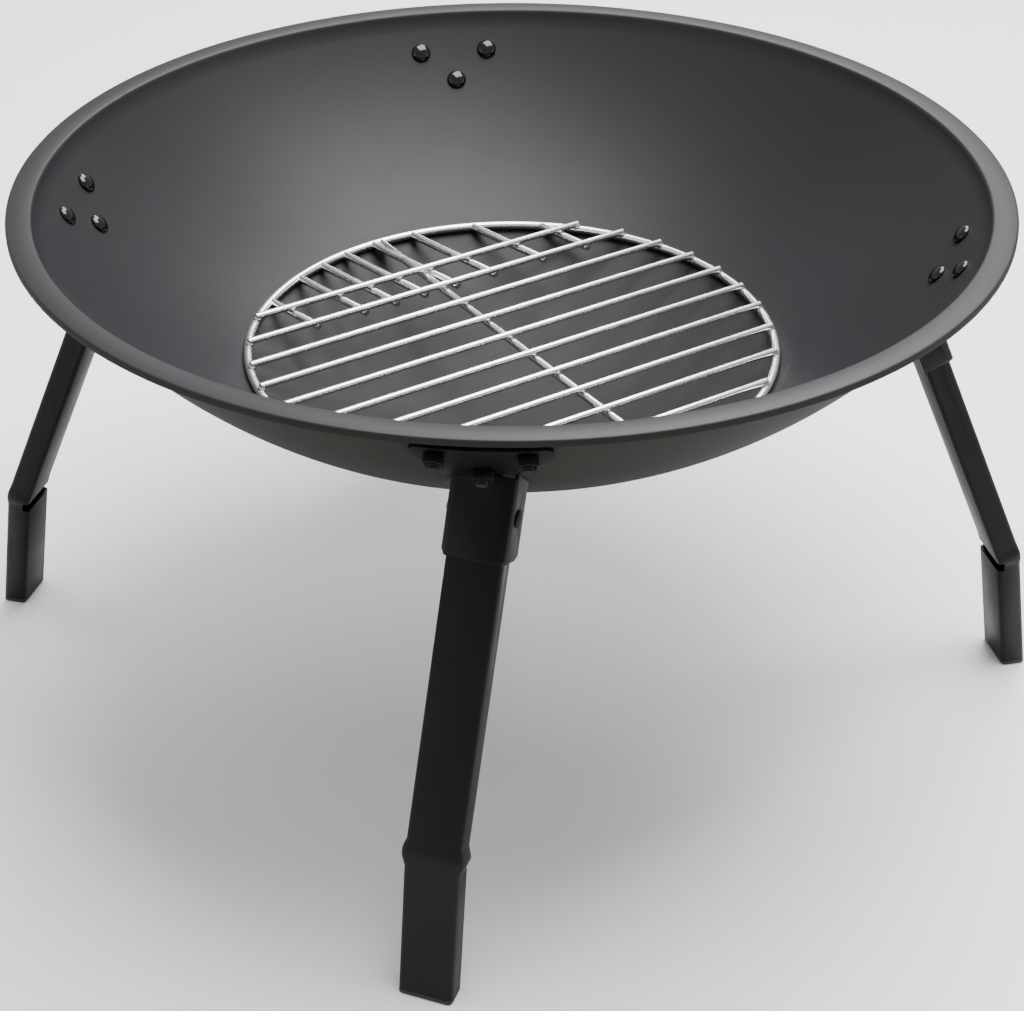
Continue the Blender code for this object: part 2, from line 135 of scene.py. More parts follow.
# The room: the camera at the photograph's angle, and the soft lights as place and size
CAMERA_PLACE = (0.1398, -1.1112, 0.8307)
CAMERA_PITCH = 33.346
CAMERA_TURN = 7.17
LIT_POINT = (0, 0, 0.25)
LIGHT_COLOUR = (0.985, 0.97, 1.0)
SOFTBOXES = (
    ("overhead_softbox", (0.28, 0.3, 1.9), (1.4, 1.4)),
    ("back_softbox", (0.25, 2.3, 2.35), (1.7, 0.9)),
    ("front_left_softbox", (-1.7, -1.5, 1.05), (1.3, 1.1)),
    ("right_softbox", (2.2, -0.4, 0.8), (1.0, 1.0)),
)


class BowlSettings(bpy.types.PropertyGroup):
    sheet: bpy.props.FloatProperty(
        name="Sheet",
        description="Thickness of the pressed steel",
        default=0.0016,
        min=0.0005,
        unit="LENGTH",
    )
    segments: bpy.props.IntProperty(
        name="Segments",
        description="Steps round the bowl",
        default=192,
        min=32,
    )
    paint: bpy.props.FloatVectorProperty(
        name="Paint",
        description="Colour of the heat-proof paint",
        subtype="COLOR",
        size=3,
        default=(0.0110, 0.0111, 0.0126),
    )
    roughness: bpy.props.FloatProperty(
        name="Roughness",
        description="How matt the paint is",
        default=0.45,
        min=0.0,
        max=1.0,
        subtype="FACTOR",
    )


class GrateSettings(bpy.types.PropertyGroup):
    ring_wire: bpy.props.FloatProperty(
        name="Ring wire",
        description="Radius of the ring's wire",
        default=0.0025,
        min=0.0005,
        unit="LENGTH",
    )
    bar_wire: bpy.props.FloatProperty(
        name="Bar wire",
        description="Radius of the long bars",
        default=0.0020,
        min=0.0005,
        unit="LENGTH",
    )
    cross_wire: bpy.props.FloatProperty(
        name="Cross wire",
        description="Radius of the cross bar and the short bars",
        default=0.0024,
        min=0.0005,
        unit="LENGTH",
    )
    bars: bpy.props.IntProperty(
        name="Bars",
        description="Number of long bars",
        default=10,
        min=2,
        max=10,
    )
    chrome: bpy.props.FloatVectorProperty(
        name="Chrome",
        description="Colour of the plating",
        subtype="COLOR",
        size=3,
        default=(0.80, 0.80, 0.81),
    )


class LegSettings(bpy.types.PropertyGroup):
    edge: bpy.props.FloatProperty(
        name="Edge",
        description="Rounding of the pressed and cut edges",
        default=0.00035,
        min=0.0,
        unit="LENGTH",
    )
    paint: bpy.props.FloatVectorProperty(
        name="Paint",
        description="Colour of the legs' paint",
        subtype="COLOR",
        size=3,
        default=(0.0054, 0.0048, 0.0035),
    )
    plug: bpy.props.FloatVectorProperty(
        name="Plug",
        description="Colour of the foot plugs",
        subtype="COLOR",
        size=3,
        default=(0.006, 0.006, 0.006),
    )


class BoltSettings(bpy.types.PropertyGroup):
    head: bpy.props.FloatProperty(
        name="Head",
        description="Radius of a bolt's domed head",
        default=0.0062,
        min=0.002,
        unit="LENGTH",
    )
    rise: bpy.props.FloatProperty(
        name="Rise",
        description="Height of the dome",
        default=0.0036,
        min=0.001,
        unit="LENGTH",
    )
    enamel: bpy.props.FloatVectorProperty(
        name="Enamel",
        description="Colour of the bolts",
        subtype="COLOR",
        size=3,
        default=(0.0012, 0.0012, 0.0014),
    )


class StudioSettings(bpy.types.PropertyGroup):
    floor: bpy.props.FloatVectorProperty(
        name="Floor",
        description="Colour of the floor",
        subtype="COLOR",
        size=3,
        default=(0.92, 0.92, 0.92),
    )
    overhead: bpy.props.FloatProperty(
        name="Overhead",
        description="Power of the overhead light in watts",
        default=92.0,
        min=0.0,
    )
    back: bpy.props.FloatProperty(
        name="Back",
        description="Power of the back light in watts",
        default=72.0,
        min=0.0,
    )
    front: bpy.props.FloatProperty(
        name="Front",
        description="Power of the front light in watts",
        default=5.0,
        min=0.0,
    )
    side: bpy.props.FloatProperty(
        name="Side",
        description="Power of the side light in watts",
        default=3.0,
        min=0.0,
    )
    sky: bpy.props.FloatProperty(
        name="Sky",
        description="Strength of the room's even light",
        default=0.76,
        min=0.0,
    )
    lens: bpy.props.FloatProperty(
        name="Lens",
        description="Focal length",
        default=76.34,
        min=10.0,
        unit="CAMERA",
    )


class FireBowlSettings(bpy.types.PropertyGroup):
    bowl: bpy.props.PointerProperty(
        type=BowlSettings,
        name="Bowl",
        description="Sizes and paint of the bowl",
    )
    grate: bpy.props.PointerProperty(
        type=GrateSettings,
        name="Grate",
        description="Wires of the grate",
    )
    legs: bpy.props.PointerProperty(
        type=LegSettings,
        name="Legs",
        description="Edges and paint of the legs",
    )
    bolts: bpy.props.PointerProperty(
        type=BoltSettings,
        name="Bolts",
        description="Bolts of the brackets",
    )
    studio: bpy.props.PointerProperty(
        type=StudioSettings,
        name="Studio",
        description="Floor, lights and camera",
    )


def settings():
    return bpy.context.scene.fire_bowl


# Modelling steps that the operators share


def deselect():
    if bpy.context.mode != "OBJECT":
        bpy.ops.object.mode_set(mode="OBJECT")
    bpy.ops.object.select_all(action="DESELECT")


def pick(obj):
    deselect()
    obj.select_set(True)
    bpy.context.view_layer.objects.active = obj


def bake_place(obj):
    """Puts the object's place into its mesh, so that the object sits at the origin."""
    pick(obj)
    bpy.ops.object.transform_apply(location=True, rotation=True, scale=True)


def apply_modifiers(obj):
    pick(obj)
    for modifier in list(obj.modifiers):
        bpy.ops.object.modifier_apply(modifier=modifier.name)


def add_bevel(obj, width, segments, degrees):
    bevel = obj.modifiers.new("Rounded edges", "BEVEL")
    bevel.width = width
    bevel.segments = segments
    bevel.limit_method = "ANGLE"
    bevel.angle_limit = math.radians(degrees)


def select_vertices(test):
    """In edit mode, selects the vertices that pass the test and the edges between them."""
    bpy.ops.mesh.select_mode(type="VERT")
    bpy.ops.mesh.select_all(action="DESELECT")
    mesh = bpy.context.object.data
    build = bmesh.from_edit_mesh(mesh)
    for vertex in build.verts:
        vertex.select_set(test(vertex.co))
    build.select_flush_mode()
    bmesh.update_edit_mesh(mesh)


def copied(pattern, place):
    """A copy of a finished shape, with its own mesh, at a place."""
    obj = pattern.copy()
    obj.data = pattern.data.copy()
    bpy.context.scene.collection.objects.link(obj)
    obj.matrix_world = place
    bake_place(obj)
    return obj


def joined(pieces):
    pick(pieces[0])
    for piece in pieces[1:]:
        piece.select_set(True)
    bpy.ops.object.join()
    return bpy.context.object


def smooth(obj, degrees):
    pick(obj)
    bpy.ops.object.shade_smooth_by_angle(angle=math.radians(degrees))


def dress(obj, name, look, body, slot, *nodes):
    """Names a finished piece, paints it and lets it ride in place of its CAD nodes."""
    bake_place(obj)
    obj.name = name
    obj.data.name = name
    obj.data.materials.clear()
    obj.data.materials.append(look)
    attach(obj, body)
    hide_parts(*nodes)


def facing(point, direction):
    """A placing matrix with Z along the direction."""
    place = Vector(direction).to_track_quat("Z", "Y").to_matrix().to_4x4()
    place.translation = Vector(point)
    return place


# Finishes


def start_look(name):
    look = bpy.data.materials.new(name)
    look.use_nodes = True
    tree = look.node_tree
    shader = tree.nodes["Principled BSDF"]
    coordinates = tree.nodes.new("ShaderNodeTexCoord")
    return look, tree, shader, coordinates.outputs["Object"]


def opened_look(look):
    """The parts of a finished look that a further step changes."""
    tree = look.node_tree
    place = next(node for node in tree.nodes if node.type == "TEX_COORD").outputs["Object"]
    return tree, tree.nodes["Principled BSDF"], place


def computed(tree, operation, first, second, clamp=False):
    """A Math node on two values, each of them a socket or a number."""
    node = tree.nodes.new("ShaderNodeMath")
    node.operation = operation
    node.use_clamp = clamp
    for socket, value in zip(node.inputs, (first, second)):
        if isinstance(value, float):
            socket.default_value = value
        else:
            tree.links.new(value, socket)
    return node.outputs["Value"]


def noise(tree, vector, scale, detail=4.0, rough=0.55):
    node = tree.nodes.new("ShaderNodeTexNoise")
    node.inputs["Scale"].default_value = scale
    node.inputs["Detail"].default_value = detail
    node.inputs["Roughness"].default_value = rough
    tree.links.new(vector, node.inputs["Vector"])
    return node.outputs["Fac"]


def spread(tree, value, low, high, from_low=0.3, from_high=0.7):
    """Maps a value from one range to another, and holds it within that."""
    node = tree.nodes.new("ShaderNodeMapRange")
    node.inputs["From Min"].default_value = from_low
    node.inputs["From Max"].default_value = from_high
    node.inputs["To Min"].default_value = low
    node.inputs["To Max"].default_value = high
    tree.links.new(value, node.inputs["Value"])
    return node.outputs["Result"]


def shade_between(tree, value, dark, light):
    node = tree.nodes.new("ShaderNodeValToRGB")
    node.color_ramp.elements[0].position = 0.3
    node.color_ramp.elements[0].color = (*dark, 1.0)
    node.color_ramp.elements[1].position = 0.7
    node.color_ramp.elements[1].color = (*light, 1.0)
    tree.links.new(value, node.inputs["Fac"])
    return node.outputs["Color"]


def mixed(tree, share, first, second):
    node = tree.nodes.new("ShaderNodeMix")
    node.data_type = "RGBA"
    tree.links.new(share, node.inputs["Factor"])
    tree.links.new(first, node.inputs["A"])
    tree.links.new(second, node.inputs["B"])
    return node.outputs["Result"]


def bump(tree, height, distance, strength, before=None):
    node = tree.nodes.new("ShaderNodeBump")
    node.inputs["Strength"].default_value = strength
    node.inputs["Distance"].default_value = distance
    tree.links.new(height, node.inputs["Height"])
    if before is not None:
        tree.links.new(before, node.inputs["Normal"])
    return node.outputs["Normal"]


def tinted(colour, factor):
    return tuple(min(1.0, channel * factor) for channel in colour)


def from_dish_centre(tree, place):
    """How far a point is from the middle of the sphere that the dish is cut from."""
    node = tree.nodes.new("ShaderNodeVectorMath")
    node.operation = "DISTANCE"
    node.inputs[1].default_value = (0, 0, DISH_CENTRE)
    tree.links.new(place, node.inputs[0])
    return node.outputs["Value"]


def edge_highlight_share(tree, place, most):
    """How strong the painted highlight is: broken patches along the edges that stand out, and nothing
    elsewhere.
    """
    rounded = tree.nodes.new("ShaderNodeBevel")
    rounded.samples = 4
    rounded.inputs["Radius"].default_value = EDGE_HIGHLIGHT_BAND
    geometry = tree.nodes.new("ShaderNodeNewGeometry")
    turned = tree.nodes.new("ShaderNodeVectorMath")
    turned.operation = "DOT_PRODUCT"
    tree.links.new(rounded.outputs["Normal"], turned.inputs[0])
    tree.links.new(geometry.outputs["Normal"], turned.inputs[1])
    edge = spread(tree, turned.outputs["Value"], 1.0, 0.0, from_low=0.90, from_high=0.99)
    broken = spread(tree, noise(tree, place, 150.0, 5.0, 0.65), 0.0, most, from_low=0.42, from_high=0.60)
    return computed(tree, "MULTIPLY", edge, broken)


def with_rub_marks(tree, place, rough):
    """Adds thin, faint marks, left by wiping and handling, to a roughness."""
    stretched = tree.nodes.new("ShaderNodeMapping")
    stretched.inputs["Rotation"].default_value = (0.9, 0.6, 0.4)
    stretched.inputs["Scale"].default_value = (520.0, 45.0, 45.0)
    tree.links.new(place, stretched.inputs["Vector"])
    streaks = noise(tree, stretched.outputs["Vector"], 1.0, 3.0)
    return computed(tree, "ADD", rough, spread(tree, streaks, 0.0, 0.018, from_low=0.54, from_high=0.72))


def sprayed_paint(name, colour, roughness, level, vary, grain=1400.0, peel=260.0, edge_highlight=0.0, patchy=0.05):
    """Sprayed paint: faint clouding, a fine grain, a slight orange peel, and a painted highlight along its
    edges.
    """
    look, tree, shader, place = start_look(name)
    clouds = noise(tree, place, 9.0, 5.0)
    body = shade_between(tree, clouds, tinted(colour, 1 - vary), tinted(colour, 1 + vary))
    # Edges that stand out are painted paler in broken patches, as a painted highlight.
    if edge_highlight:
        painted_highlight = shade_between(tree, clouds, tinted(colour, 4.0), tinted(colour, 6.0))
        body = mixed(tree, edge_highlight_share(tree, place, edge_highlight), body, painted_highlight)
    tree.links.new(body, shader.inputs["Base Color"])
    rough = spread(tree, noise(tree, place, 42.0, 6.0), roughness - patchy, roughness + patchy)
    tree.links.new(with_rub_marks(tree, place, rough), shader.inputs["Roughness"])
    shader.inputs["Specular IOR Level"].default_value = level
    waves = bump(tree, noise(tree, place, peel, 2.0), 0.00012, 0.25)
    fine = bump(tree, noise(tree, place, grain, 2.0), 0.00004, 0.35, waves)
    tree.links.new(fine, shader.inputs["Normal"])
    return look


def outside_share(tree, place, height):
    """1 on the outside of the dish and of the lip, and 0 on the inside of the dish and the flange."""
    middle = DISH_RADIUS + settings().bowl.sheet / 2
    depth = from_dish_centre(tree, place)
    outside = spread(tree, depth, 0.0, 1.0, middle - SHEET_BLEND, middle + SHEET_BLEND)
    low, high = FLANGE_BAND
    below_flange = spread(tree, height, 1.0, 0.0, RIM_HEIGHT - low, RIM_HEIGHT - high)
    level = tree.nodes.new("ShaderNodeVectorMath")
    level.operation = "MULTIPLY"
    level.inputs[1].default_value = (1, 1, 0)
    tree.links.new(place, level.inputs[0])
    away = tree.nodes.new("ShaderNodeVectorMath")
    away.operation = "LENGTH"
    tree.links.new(level.outputs["Vector"], away.inputs[0])
    inner, outer = LIP_BAND
    lip = spread(tree, away.outputs["Value"], 0.0, 1.0, RIM_RADIUS - inner, RIM_RADIUS - outer)
    return computed(tree, "MAXIMUM", computed(tree, "MULTIPLY", outside, below_flange), lip)


def scorched_share(tree, place, height):
    """How scorched the dish is: only its middle under the grate, where the coals lie, with a wavy edge."""
    uneven = spread(tree, noise(tree, place, 55.0, 6.0, 0.65), -0.004, 0.004)
    wavy = computed(tree, "ADD", height, uneven)
    below, above = SCORCH_BAND
    return spread(tree, wavy, SCORCHED, 0.0, GRATE_LOW.z - below, GRATE_LOW.z + above)


def two_sided_paint(name, colour, roughness):
    """Sprayed paint that is satin inside the dish, and darker and more matt on its outside."""
    look = sprayed_paint(name, colour, roughness, level=0.22, vary=0.07, edge_highlight=0.5, patchy=0.012)
    tree, shader, place = opened_look(look)
    parts = tree.nodes.new("ShaderNodeSeparateXYZ")
    tree.links.new(place, parts.inputs["Vector"])
    height = parts.outputs["Z"]
    outside = outside_share(tree, place, height)
    inner = shader.inputs["Base Color"].links[0].from_socket
    patches = noise(tree, place, 16.0, 5.0)
    outer = shade_between(tree, patches, OUTSIDE_DARK, OUTSIDE_LIGHT)
    tree.links.new(mixed(tree, outside, inner, outer), shader.inputs["Base Color"])
    matt = computed(tree, "MAXIMUM", outside, scorched_share(tree, place, height))
    added = computed(tree, "MULTIPLY", matt, OUTSIDE_ROUGHER)
    before = shader.inputs["Roughness"].links[0].from_socket
    tree.links.new(computed(tree, "ADD", before, added, clamp=True), shader.inputs["Roughness"])
    return look


def with_matt_shank(look):
    """Makes a bolt's finish matt and ridged outside the dish, where its thread is."""
    tree, shader, place = opened_look(look)
    depth = from_dish_centre(tree, place)
    added = spread(tree, depth, 0.0, THREAD_ROUGHER, DISH_RADIUS + 0.001, DISH_RADIUS + 0.002)
    before = shader.inputs["Roughness"].links[0].from_socket
    tree.links.new(computed(tree, "ADD", before, added, clamp=True), shader.inputs["Roughness"])
    turns = computed(tree, "MULTIPLY", depth, 2 * math.pi / THREAD_PITCH)
    ridges = computed(tree, "SINE", turns, 0.0)
    thread = computed(tree, "MULTIPLY", ridges, added)
    before = shader.inputs["Normal"].links[0].from_socket
    tree.links.new(bump(tree, thread, 0.0004, 0.8, before), shader.inputs["Normal"])
    return look


def chrome_look(name, colour):
    """Bright plating with faint drawing marks and a few duller patches."""
    look, tree, shader, place = start_look(name)
    patches = noise(tree, place, 34.0, 4.0)
    body = shade_between(tree, patches, tinted(colour, 0.9), tinted(colour, 1.05))
    tree.links.new(body, shader.inputs["Base Color"])
    tree.links.new(spread(tree, noise(tree, place, 90.0, 4.0), 0.20, 0.30), shader.inputs["Roughness"])
    shader.inputs["Metallic"].default_value = 1.0
    tree.links.new(bump(tree, noise(tree, place, 2600.0, 2.0), 0.00001, 0.12), shader.inputs["Normal"])
    return look


def moulded_plastic(name, colour):
    """Matt moulded plastic with a fine spark-eroded grain."""
    look, tree, shader, place = start_look(name)
    body = shade_between(tree, noise(tree, place, 60.0, 3.0), tinted(colour, 0.85), tinted(colour, 1.2))
    tree.links.new(body, shader.inputs["Base Color"])
    tree.links.new(spread(tree, noise(tree, place, 150.0, 3.0), 0.52, 0.66), shader.inputs["Roughness"])
    tree.links.new(bump(tree, noise(tree, place, 2200.0, 2.0), 0.00006, 0.5), shader.inputs["Normal"])
    return look


def get_look(name):
    """The named finish, made on first use."""
    found = bpy.data.materials.get(name)
    if found:
        return found
    chosen = settings()
    legs = tuple(chosen.legs.paint)
    if name == "bowl_paint":
        return two_sided_paint(name, tuple(chosen.bowl.paint), chosen.bowl.roughness)
    if name == "leg_paint":
        return sprayed_paint(name, legs, 0.46, level=0.13, vary=0.16, edge_highlight=0.7)
    # The brackets get the legs' paint at half its colour and with less shine: painted shade for the shadow
    # under the rim.
    if name == "bracket_paint_painted_shade":
        return sprayed_paint(name, tinted(legs, 0.5), 0.5, level=0.10, vary=0.14, edge_highlight=0.9)
    if name == "bolt_enamel":
        enamel = tuple(chosen.bolts.enamel)
        look = sprayed_paint(name, enamel, 0.13, level=0.42, vary=0.1, grain=900.0, peel=160.0, patchy=0.03)
        return with_matt_shank(look)
    if name == "black_oxide":
        return sprayed_paint(name, OXIDE, 0.55, level=0.13, vary=0.2, grain=1100.0, peel=300.0, edge_highlight=0.25)
    if name == "chrome":
        return chrome_look(name, tuple(chosen.grate.chrome))
    if name == "plug_plastic":
        return moulded_plastic(name, tuple(chosen.legs.plug))
    raise ValueError(f"there is no finish named {name}")


# Pieces


def extrude_ring(radius_before, radius, rise):
    """Extrudes the selected ring about the bowl's axis to a new radius and height."""
    bpy.ops.mesh.extrude_region_move(TRANSFORM_OT_translate={"value": (0, 0, rise)})
    scale = radius / radius_before
    bpy.ops.transform.resize(value=(scale, scale, 1), center_override=(0, 0, RIM_HEIGHT))


def press_dish(segments):
    """A sphere cut off below the rim, with its edge drawn out to the flange and the lip."""
    deselect()
    bpy.ops.mesh.primitive_uv_sphere_add(
        segments=segments, ring_count=160, radius=DISH_RADIUS, location=(0, 0, DISH_CENTRE)
    )
    dish = bpy.context.object
    bake_place(dish)
    bpy.ops.object.mode_set(mode="EDIT")
    bpy.ops.mesh.select_all(action="SELECT")
    edge = RIM_HEIGHT - DISH_EDGE_DROP
    bpy.ops.mesh.bisect(plane_co=(0, 0, edge), plane_no=(0, 0, 1), clear_outer=True)
    select_vertices(lambda point: point.z > edge - HAIR)
    radius = math.sqrt(DISH_RADIUS**2 - (DISH_CENTRE - edge) ** 2)
    drop = DISH_EDGE_DROP
    for next_radius, next_drop in RIM_STEPS:
        extrude_ring(radius, next_radius, drop - next_drop)
        radius = next_radius
        drop = next_drop
    bpy.ops.object.mode_set(mode="OBJECT")
    return dish


class MakeBowl(bpy.types.Operator):
    """Press the bowl: a spherical dish with a flat flange and a thin lip turned down at its edge"""

    bl_idname = "fire_bowl.make_bowl"
    bl_label = "Make the bowl"

    def execute(self, context):
        chosen = settings().bowl
        dish = press_dish(chosen.segments)
        wall = dish.modifiers.new("Sheet", "SOLIDIFY")
        wall.thickness = chosen.sheet
        wall.offset = 1.0
        wall.use_even_offset = True
        apply_modifiers(dish)
        smooth(dish, 40)
        dress(dish, "pressed_bowl", get_look("bowl_paint"), "bowl", "bowl_enamel", "fire_bowl")
        return {"FINISHED"}


def round_wire(start, end, radius):
    """A straight wire from one point to another, with rounded ends."""
    start = Vector(start)
    run = Vector(end) - start
    deselect()
    bpy.ops.mesh.primitive_cylinder_add(vertices=20, radius=radius, depth=run.length)
    rod = bpy.context.object
    rod.matrix_world = facing(start + run / 2, run)
    bake_place(rod)
    add_bevel(rod, radius * 0.35, 3, 60)
    apply_modifiers(rod)
    return rod


def bar_ends(turn, offset, height, radius):
    """Where a straight wire across the ring starts and ends, at a distance from the ring's middle."""
    angle = math.radians(turn)
    run = Vector((math.cos(angle), math.sin(angle), 0))
    side = Vector((-math.sin(angle), math.cos(angle), 0))
    half = math.sqrt(radius * radius - offset * offset)
    middle = side * offset + Vector((0, 0, height))
    return middle - run * half, middle + run * half


def short_bar_ends(offset, height, radius):
    """A short wire runs from the ring to the second long bar, and is welded under it."""
    start, end = bar_ends(SHORT_TURN, offset, height, radius)
    run = (end - start).normalized()
    across = Vector((-math.sin(math.radians(BAR_TURN)), math.cos(math.radians(BAR_TURN)), 0))
    limit = FIRST_BAR - BAR_PITCH
    reach = (start.dot(across) - limit) / -run.dot(across)
    return start, start + run * reach


def weld_bead(size):
    """A small flattened bead, as where two wires are welded."""
    deselect()
    bpy.ops.mesh.primitive_ico_sphere_add(subdivisions=2, radius=size)
    bead = bpy.context.object
    bpy.ops.object.mode_set(mode="EDIT")
    bpy.ops.mesh.select_all(action="SELECT")
    bpy.ops.transform.resize(value=(1, 1, 0.75), center_override=(0, 0, 0))
    bpy.ops.object.mode_set(mode="OBJECT")
    return bead


class MakeGrate(bpy.types.Operator):
    """Weld the grate: a ring, long bars on top, a cross bar and short wires below, and the weld beads"""

    bl_idname = "fire_bowl.make_grate"
    bl_label = "Make the grate"

    def execute(self, context):
        chosen = settings().grate
        height = GRATE_LOW.z + chosen.ring_wire
        ring = GRATE_HIGH.x - chosen.ring_wire
        on_top = height + chosen.ring_wire + chosen.bar_wire - WELD_SINK
        deselect()
        bpy.ops.mesh.primitive_torus_add(
            major_segments=160,
            minor_segments=20,
            major_radius=ring,
            minor_radius=chosen.ring_wire,
            location=(0, 0, height),
        )
        wires = [bpy.context.object]
        bake_place(wires[0])
        bead = weld_bead(chosen.bar_wire * 1.25)
        bead_drop = Vector((0, 0, chosen.bar_wire * 0.9))
        for i in range(chosen.bars):
            start, end = bar_ends(BAR_TURN, FIRST_BAR - BAR_PITCH * i, on_top, ring)
            wires.append(round_wire(start, end, chosen.bar_wire))
            inset = (end - start).normalized() * BEAD_INSET
            for spot in (start + inset, end - inset):
                wires.append(copied(bead, Matrix.Translation(spot - bead_drop)))
        wires.append(round_wire(*bar_ends(BAR_TURN - 90, 0.0, height, ring), chosen.cross_wire))
        for offset in SHORT_BARS:
            wires.append(round_wire(*short_bar_ends(offset, height, ring), chosen.cross_wire))
        bpy.data.objects.remove(bead)
        grate = joined(wires)
        smooth(grate, 45)
        dress(grate, "grate_wires", get_look("chrome"), "grate", "grate_chrome", "grate")
        return {"FINISHED"}


def refined_copy(node, edge, degrees):
    """A copy of a CAD node with its corners merged, its flat faces cleaned and its edges rounded."""
    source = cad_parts[node]
    obj = bpy.data.objects.new(node + "_finished", source.data.copy())
    bpy.context.scene.collection.objects.link(obj)
    pick(obj)
    bpy.ops.object.mode_set(mode="EDIT")
    bpy.ops.mesh.select_all(action="SELECT")
    bpy.ops.mesh.remove_doubles(threshold=MERGED_WITHIN)
    bpy.ops.mesh.dissolve_limited(angle_limit=math.radians(JOINED_WITHIN))
    bpy.ops.object.mode_set(mode="OBJECT")
    add_bevel(obj, edge, 2, degrees)
    apply_modifiers(obj)
    smooth(obj, degrees + SMOOTH_PAST)
    return obj


class MakeLegs(bpy.types.Operator):
    """Finish the four bent tube legs, and the plastic plug in each foot"""

    bl_idname = "fire_bowl.make_legs"
    bl_label = "Make the legs"

    def execute(self, context):
        edge = settings().legs.edge
        for name in LEG_NAMES:
            body = name + "_leg"
            node = name + "_leg"
            tube = refined_copy(node, edge * TUBE_EDGE_SHARE, 50)
            dress(tube, name + "_leg_tube", get_look("leg_paint"), body, "leg_black", node)
            node = name + "_foot_plug"
            plug = refined_copy(node, edge, 40)
            dress(plug, name + "_plug", get_look("plug_plastic"), body, "plug_black", node)
        return {"FINISHED"}


class MakeBrackets(bpy.types.Operator):
    """Finish the brackets that the legs fold in, and their riveted pins"""

    bl_idname = "fire_bowl.make_brackets"
    bl_label = "Make the brackets"

    def execute(self, context):
        edge = settings().legs.edge
        for name in LEG_NAMES:
            node = name + "_bracket"
            bracket = refined_copy(node, edge, 40)
            # The brackets' paint is darker than the legs' paint, as painted shade under the rim.
            look = get_look("bracket_paint_painted_shade")
            dress(bracket, name + "_plate_and_channel", look, "bowl", "leg_black", node)
            node = name + "_pivot_pin"
            pin = refined_copy(node, edge * PIN_EDGE_SHARE, 50)
            dress(pin, name + "_pin", get_look("black_oxide"), "bowl", "fastener_black", node)
        return {"FINISHED"}


def bolt_line(node):
    """Where a bolt passes through the dish's inner face, and its outward direction."""
    low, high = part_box(node)
    centre = Vector((0, 0, DISH_CENTRE))
    direction = ((low + high) / 2 - centre).normalized()
    return centre + direction * DISH_RADIUS, direction


def domed_bolt():
    """A bolt along Z: half of a flattened ball, drawn down to its straight edge, and the shank."""
    chosen = settings().bolts
    deselect()
    bpy.ops.mesh.primitive_uv_sphere_add(segments=40, ring_count=24, radius=chosen.head)
    bolt = bpy.context.object
    bpy.ops.object.mode_set(mode="EDIT")
    bpy.ops.mesh.select_all(action="SELECT")
    bpy.ops.mesh.bisect(plane_co=(0, 0, 0), plane_no=(0, 0, 1), clear_outer=True)
    bpy.ops.mesh.select_all(action="SELECT")
    flatter = (chosen.rise - HEAD_EDGE) / chosen.head
    bpy.ops.transform.resize(value=(1, 1, flatter), center_override=(0, 0, 0))
    select_vertices(lambda point: point.z > -HAIR)
    bpy.ops.mesh.extrude_region_move(TRANSFORM_OT_translate={"value": (0, 0, HEAD_EDGE)})
    for rise in (0.0, SHANK_LENGTH):
        build = bmesh.from_edit_mesh(bolt.data)
        before = max(vertex.co.xy.length for vertex in build.verts if vertex.select)
        narrower = SHANK_RADIUS / before
        bpy.ops.mesh.extrude_region_move(TRANSFORM_OT_translate={"value": (0, 0, rise)})
        bpy.ops.transform.resize(value=(narrower, narrower, 1), center_override=(0, 0, 0))
    bpy.ops.mesh.edge_face_add()
    bpy.ops.mesh.select_all(action="SELECT")
    bpy.ops.mesh.normals_make_consistent(inside=False)
    bpy.ops.object.mode_set(mode="OBJECT")
    add_bevel(bolt, BOLT_ROUNDING, 2, 50)
    apply_modifiers(bolt)
    smooth(bolt, 50)
    return bolt


class MakeBolts(bpy.types.Operator):
    """Turn the domed bolts that hold the brackets, and finish their nuts"""

    bl_idname = "fire_bowl.make_bolts"
    bl_label = "Make the bolts"

    def execute(self, context):
        pattern = domed_bolt()
        for name in LEG_NAMES:
            for spot in BOLT_SPOTS:
                node = f"{name}_bolt_{spot}"
                point, direction = bolt_line(node)
                bolt = copied(pattern, facing(point - direction * HEAD_EDGE, direction))
                look = get_look("bolt_enamel")
                dress(bolt, f"{name}_domed_bolt_{spot}", look, "bowl", "bolt_gloss_black", node)
                node = f"{name}_nut_{spot}"
                nut = refined_copy(node, NUT_ROUNDING, 40)
                look = get_look("black_oxide")
                dress(nut, f"{name}_hex_nut_{spot}", look, "bowl", "fastener_black", node)
        bpy.data.objects.remove(pattern)
        return {"FINISHED"}


# Studio


def add_softbox(name, place, size, power):
    data = bpy.data.lights.new(name, "AREA")
    data.shape = "RECTANGLE"
    data.size, data.size_y = size
    data.energy = power
    data.color = LIGHT_COLOUR
    light = bpy.data.objects.new(name, data)
    light.location = place
    light.rotation_euler = (Vector(LIT_POINT) - Vector(place)).to_track_quat("-Z", "Y").to_euler()
    bpy.context.scene.collection.objects.link(light)


def make_floor(colour):
    deselect()
    bpy.ops.mesh.primitive_plane_add(size=8.0, location=(0, 0, 0))
    floor = bpy.context.object
    bake_place(floor)
    floor.name = "studio_floor"
    look, tree, shader, place = start_look("floor_paper")
    body = shade_between(tree, noise(tree, place, 3.0, 3.0), tinted(colour, 0.985), tinted(colour, 1.0))
    tree.links.new(body, shader.inputs["Base Color"])
    shader.inputs["Roughness"].default_value = 0.9
    shader.inputs["Specular IOR Level"].default_value = 0.1
    floor.data.materials.append(look)


def make_room_light(strength):
    world = bpy.data.worlds.new("studio_room")
    world.use_nodes = True
    background = world.node_tree.nodes["Background"]
    background.inputs["Color"].default_value = (1.0, 1.0, 1.0, 1.0)
    background.inputs["Strength"].default_value = strength
    bpy.context.scene.world = world


